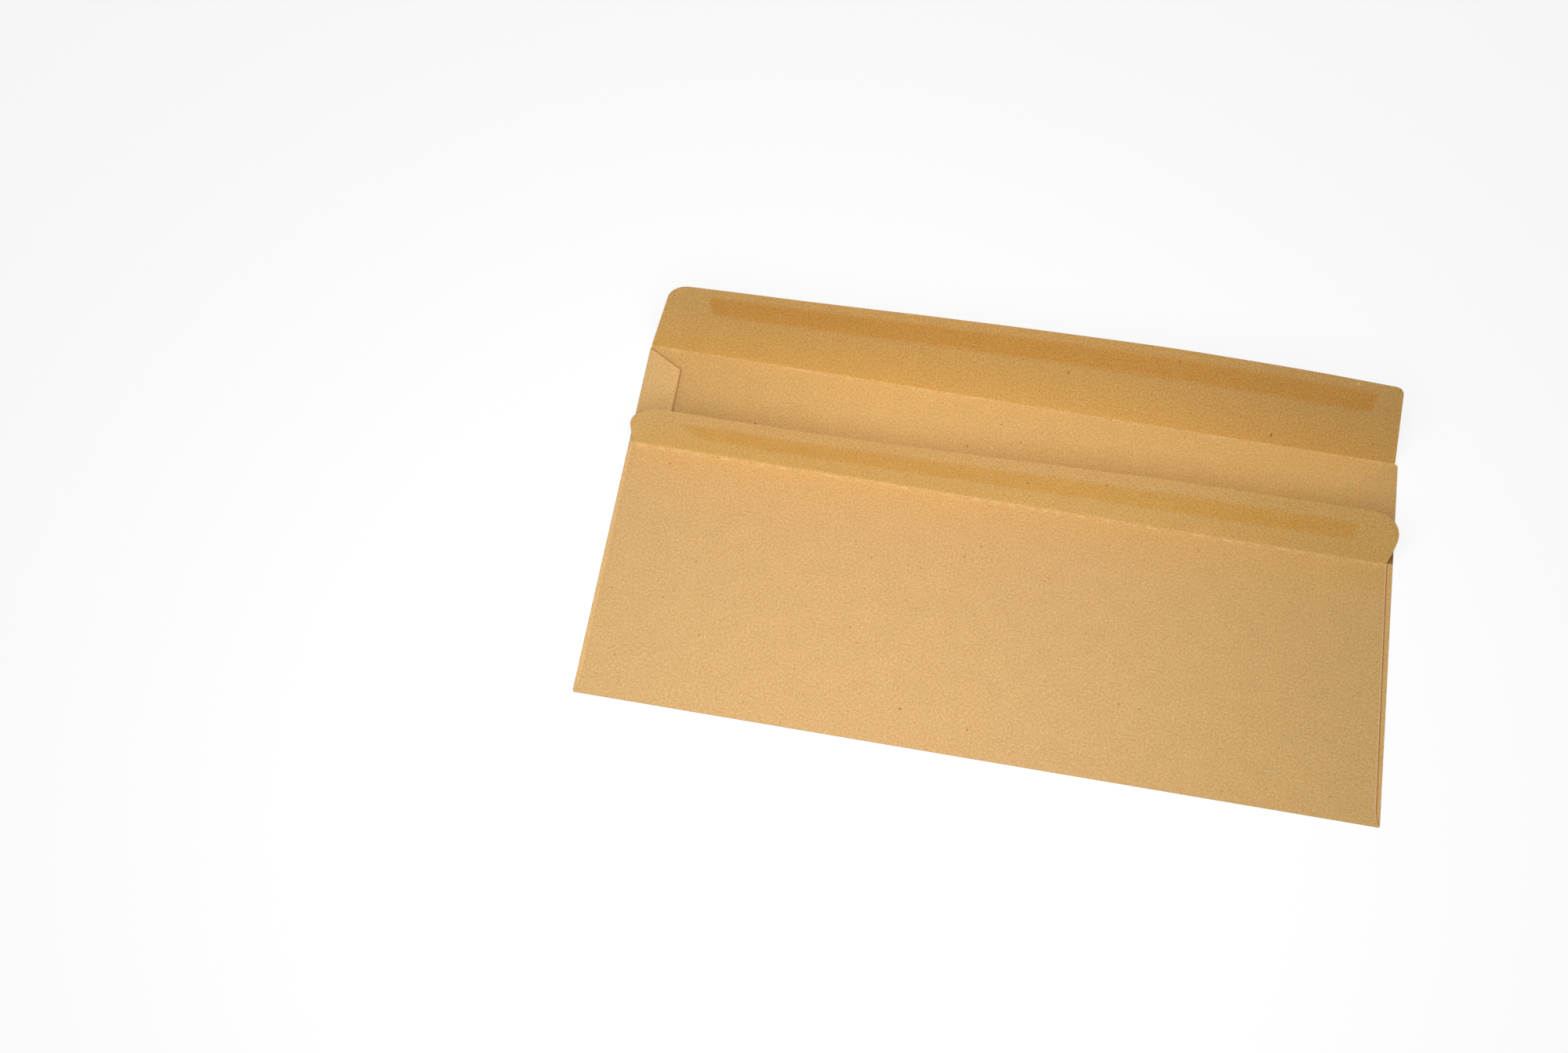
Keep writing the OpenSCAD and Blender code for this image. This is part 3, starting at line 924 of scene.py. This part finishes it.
smallMarks = (
    # place on the flat cut and half sizes across and along, in mm, what it is and its strength
    (72.5, 58.4, 0.3, 1.2, "barkAndShade", 0.75),         # short fibre on the main flap
    (101.2, 61.0, 0.35, 0.4, "barkAndShade", 0.6),
    (11.5, 69.2, 0.5, 0.8, "barkAndShade", 0.5),
    (41.7, 78.3, 0.5, 0.9, "barkAndShade", 0.45),
    (91.6, 81.3, 0.4, 0.5, "paleFibreAndHighlight", 0.7),
    (-75.3, 35.1, 0.5, 0.4, "barkAndShade", 0.7),
    (-13.6, 38.8, 0.5, 0.8, "barkAndShade", 0.45),
    (1.5, 42.6, 0.4, 0.4, "barkAndShade", 0.6),
    (-6.5, 39.3, 0.4, 0.45, "paleFibreAndHighlight", 0.8),
    (4.4, -142.0, 0.6, 0.5, "barkAndShade", 0.5),
    (26.1, -145.7, 0.5, 0.6, "barkAndShade", 0.4),
    (-97.0, -127.9, 0.45, 0.4, "barkAndShade", 0.6),
    (-21.2, -65.8, 0.4, 0.45, "barkAndShade", 0.85),      # specks on the back panel
    (-5.7, -117.7, 0.4, 0.4, "barkAndShade", 0.75),
    (-9.9, -113.7, 0.4, 0.4, "barkAndShade", 0.65),
    (-2.3, -63.0, 0.4, 0.4, "barkAndShade", 0.65),
    (37.5, -77.5, 0.4, 0.4, "barkAndShade", 0.65),
    (97.8, -77.5, 0.4, 0.9, "paleFibreAndHighlight", 0.35),   # painted highlight and, beside it, painted shade of a small dent in the back; the folded sheet has no dent in it
    (97.0, -77.2, 0.4, 0.8, "barkAndShade", 0.15),
)
gumFinish = {
    "roughness": 0.5,
    "specular": 0.3,
    "bumpShare": 0.6,           # bump against the paper's
    "blotchStretch": (0.5, 1, 1), "blotchShape": (4.0, 0.62),
    "bodySpan": (0.25, 0.7),    # noise values where it is thinnest and full
}


def startMaterial(name):
    material = bpy.data.materials.new(name)
    material.use_nodes = True
    tree = material.node_tree
    cutPlace = attribute(tree, "cutPlace")["Vector"]
    flat = vectorMath(tree, "MULTIPLY", cutPlace, (1, 1, 0))   # one pattern through the thickness
    return material, tree, tree.nodes["Principled BSDF"], cutPlace, flat


def pulpFor(tree, cutPlace, place):
    tone = placeGroup(tree, toneAndShadeGroup, {"Place": cutPlace})["Tone"]
    along = separate(tree, cutPlace)[1]
    onFlap = calc(tree, "MAXIMUM", between(tree, along, mainLine, mainRoot),
                  between(tree, along, mouthLine, mouthRoot))
    pulp = placeGroup(tree, pulpGroup, {
        "Place": place, "Paper Colour": mix(tree, 1.0, paperFinish["colour"], tone, "MULTIPLY"),
        "Grain": times(tree, paperFinish["grain"],
                       between(tree, onFlap, 0.0, 1.0, 1.0, paperFinish["flapGrain"])),
        **paperFinish["pulp"]})
    paint = pulp["Colour"]
    for across, along, wide, tall, kind, strength in smallMarks:
        mask = placeGroup(tree, markGroup, {
            "Place": place, "Centre": (across, along, 0.0), "Reach": (wide, tall, 1.0)})["Mask"]
        paint = mix(tree, times(tree, mask, strength), paint, pulpFinish[kind])
    return paint, pulp["Height"]


def finishShader(tree, shader, paint, height, roughness, specular, bump):
    relief = addNode(tree, "ShaderNodeBump", {
        "Strength": bump, "Distance": paperFinish["bumpDepth"] * mm, "Height": height})
    feedAll(tree, shader, {"Base Color": paint, "Roughness": roughness,
                           "Specular IOR Level": specular, "Normal": relief.outputs[0]})
    arrange(tree)


def makePaper():
    finish = paperFinish
    material, tree, shader, cutPlace, place = startMaterial("kraftPaper")
    paint, height = pulpFor(tree, cutPlace, place)
    across, along = separate(tree, cutPlace)[:2]
    toEdge = attribute(tree, "toEdge")["Fac"]
    pastBack = attribute(tree, "pastBack")["Fac"]

    measured = {"along": along, "across": calc(tree, "ABSOLUTE", across)}
    # along the creases and side folds, partly wear and partly painted highlight
    for direction, line, width, streakScale, streakShare, strength in wearAndHighlightLines:
        away = calc(tree, "ABSOLUTE", minus(tree, measured[direction], line))
        mask = placeGroup(tree, creaseGroup, {
            "Place": place, "Away": away, "Width": width, "Streak Scale": streakScale,
            "Streak Share": streakShare})["Mask"]
        paint = mix(tree, times(tree, mask, strength), paint, finish["wearAndHighlightColour"])

    # painted shade darkens the left side flap's cut edge, and a painted highlight makes the back
    # panel's right edge pale
    fold = plateHalf + sideBand
    onLeftFlap = between(tree, across, -fold, -(fold + finish["sideStart"]))
    rim = between(tree, toEdge, *finish["edgeShadeSpan"])
    paint = mix(tree, times(tree, onLeftFlap, rim, finish["edgeShade"]),
                paint, finish["shadeColour"])
    soft = finish["creaseSoft"]
    onBack = times(tree, between(tree, along, backRoot, backRoot - finish["backStart"]),
                   between(tree, along, mouthLine - soft, mouthLine + soft))
    atRight = between(tree, across, *(halfWidth - inward for inward in finish["rightSpan"]))
    rim = between(tree, toEdge, *finish["edgeHighlightSpan"])
    paint = mix(tree, times(tree, onBack, atRight, rim, finish["edgeHighlight"]),
                paint, finish["wearAndHighlightColour"])

    # painted shadow darkens the gap beside the back panel's right edge and the one under the mouth
    # flap's foot
    shade = times(tree, between(tree, pastBack, *finish["gapShadeSpan"]), finish["gapShade"],
                  between(tree, along, mouthHeight + finish["gapEnd"], mouthHeight))
    paint = mix(tree, shade, paint, finish["gapShadeColour"])
    foot = times(tree, *(between(tree, along, *(mouthHeight + up for up in finish[span]))
                         for span in ("footStart", "footEnd")),
                 finish["footShade"], calc(tree, "GREATER_THAN", across, plateHalf + slack))
    paint = mix(tree, foot, paint, finish["shadeColour"])
    finishShader(tree, shader, paint, height,
                 finish["roughness"], finish["specular"], finish["bump"])
    return material


def makeGum(name, strip, root, sign):
    # the film thins out to bare paper where its blotches end
    material, tree, shader, cutPlace, place = startMaterial(name)
    paint, height = pulpFor(tree, cutPlace, place)
    run = times(tree, minus(tree, separate(tree, place)[1], root), sign)
    blotch = texNoise(tree, stretched(tree, place, 0, gumFinish["blotchStretch"]),
                      strip["blotch"], *gumFinish["blotchShape"])
    wandered = total(tree, run, times(tree, minus(tree, blotch, 0.5), strip["wander"]))
    lowEdge = between(tree, run, strip["from"], strip["from"] + strip["lowFade"])
    highEdge = between(tree, wandered, strip["to"], strip["to"] - strip["highFade"])
    body = between(tree, blotch, *gumFinish["bodySpan"], strip["thin"], 1.0)
    ends = between(tree, attribute(tree, "toEdge")["Fac"], 0.0, strip["endFade"])
    gum = times(tree, lowEdge, highEdge, body, ends)
    stained = mix(tree, 1.0, paint, strip["tone"], "MULTIPLY")
    roughness = between(tree, gum, 0.0, 1.0, paperFinish["roughness"], gumFinish["roughness"])
    finishShader(tree, shader, mix(tree, gum, paint, stained), height, roughness,
                 gumFinish["specular"], paperFinish["bump"] * gumFinish["bumpShare"])
    return material


def foldUp(flat, material):
    # the tree's result becomes a plain mesh with the flat cut's name, and the flat cut goes
    tool = flat.modifiers.new("foldEnvelope", "NODES")
    tool.node_group = foldTree
    values = {"Material": material, **dict(foldInputs)}
    for item in foldTree.interface.items_tree:
        if item.in_out == "INPUT" and item.name in values:
            tool[item.identifier] = values[item.name]
    bpy.context.view_layer.update()
    evaluated = flat.evaluated_get(bpy.context.evaluated_depsgraph_get())
    mesh = bpy.data.meshes.new_from_object(evaluated)
    name, flatMesh = flat.name, flat.data
    bpy.data.objects.remove(flat)
    bpy.data.meshes.remove(flatMesh)
    mesh.name = name
    mesh.shade_smooth()
    mesh.set_sharp_from_angle(angle=math.radians(cutSteps["sharp"]))
    return addObject(name, mesh)


paperSheet = foldUp(cutSheet(), makePaper())
print("envelope: sheet folded,", len(paperSheet.data.polygons), "faces")

flapGumFilm, mouthGumFilm = (
    foldUp(cutGum(name + "Film", *where), makeGum(name, *where))
    for name, *where in (("flapGum", mainGum, mainRoot, 1), ("mouthGum", mouthGum, mouthRoot, -1)))
print("envelope: gum films laid")

for piece, node, slot in ((paperSheet, "envelope", "kraft_paper"),
                          (flapGumFilm, "flap_gum", "dried_gum"),
                          (mouthGumFilm, "mouth_gum", "dried_gum")):
    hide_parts(node)
    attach(piece, "root")

# Table and light
studio = {
    "floorSize": 6000,
    "floorDrop": 0.02,              # mm below the envelope
    "floorColour": colour(0.88, 0.88, 0.88),
    "floorRoughness": 0.9,
    "floorSpecular": 0.1,
    "floorWhite": 0.76,             # share of plain white that the camera sees in it
    "floorGlow": 1.12,
    "lampPlace": (-48, -90, 262),   # mm
    "lampAim": (-48, -10, 0),
    "lampSize": 220,
    "lampPower": 0.52,
    "lampSpread": 160,              # degrees
    "world": 0.18,
    "worldColour": colour(1.0, 1.0, 1.0),
    "backdrop": 1.0,                # plain white that the camera sees round the floor
}


def seenShare(tree):
    # 1 for what the camera sees, straight or by a mirror or glass
    path = tree.nodes.new("ShaderNodeLightPath").outputs
    return calc(tree, "MAXIMUM", path["Is Camera Ray"],
                calc(tree, "MAXIMUM", path["Is Glossy Ray"], path["Is Transmission Ray"]))


def mixShaders(tree, share, first, second, surface):
    node = addNode(tree, "ShaderNodeMixShader", enumerate((share, first, second)))
    feed(tree, surface, node.outputs[0])


def makeFloor():
    half, drop = studio["floorSize"] / 2 * mm, -studio["floorDrop"] * mm
    corners = [(x * half, y * half, drop) for x, y in ((-1, -1), (1, -1), (1, 1), (-1, 1))]
    mesh = bpy.data.meshes.new("tableTop")
    mesh.from_pydata(corners, [], [(0, 1, 2, 3)])
    floor = addObject("tableTop", mesh)
    material = bpy.data.materials.new("paleTable")
    material.use_nodes = True
    tree = material.node_tree
    shader = tree.nodes["Principled BSDF"]
    feedAll(tree, shader, {
        "Base Color": studio["floorColour"], "Roughness": studio["floorRoughness"],
        "Specular IOR Level": studio["floorSpecular"]})
    glow = addNode(tree, "ShaderNodeEmission", {"Strength": studio["floorGlow"]})
    mixShaders(tree, times(tree, seenShare(tree), studio["floorWhite"]),
               shader.outputs[0], glow.outputs[0], tree.nodes["Material Output"].inputs["Surface"])
    arrange(tree)
    mesh.materials.append(material)


def makeLight():
    lamp = bpy.data.lights.new("softLamp", "AREA")
    lamp.shape = "SQUARE"
    lamp.size = studio["lampSize"] * mm
    lamp.energy = studio["lampPower"]
    lamp.spread = math.radians(studio["lampSpread"])
    addObject("softLamp", lamp).matrix_world = lookFrom(studio["lampPlace"], studio["lampAim"])


def makeWorld():
    world = bpy.data.worlds.new("paleRoom")
    bpy.context.scene.world = world
    world.use_nodes = True
    tree = world.node_tree
    tree.nodes.clear()
    room, white = (
        addNode(tree, "ShaderNodeBackground", {"Color": tone, "Strength": strength})
        for tone, strength in ((studio["worldColour"], studio["world"]),
                               (colour(1, 1, 1), studio["backdrop"])))
    out = tree.nodes.new("ShaderNodeOutputWorld")
    mixShaders(tree, seenShare(tree), room.outputs[0], white.outputs[0], out.inputs["Surface"])
    arrange(tree)


makeFloor()
makeLight()
makeWorld()
bpy.context.scene.view_settings.view_transform = "Standard"
print("envelope: table and light set")
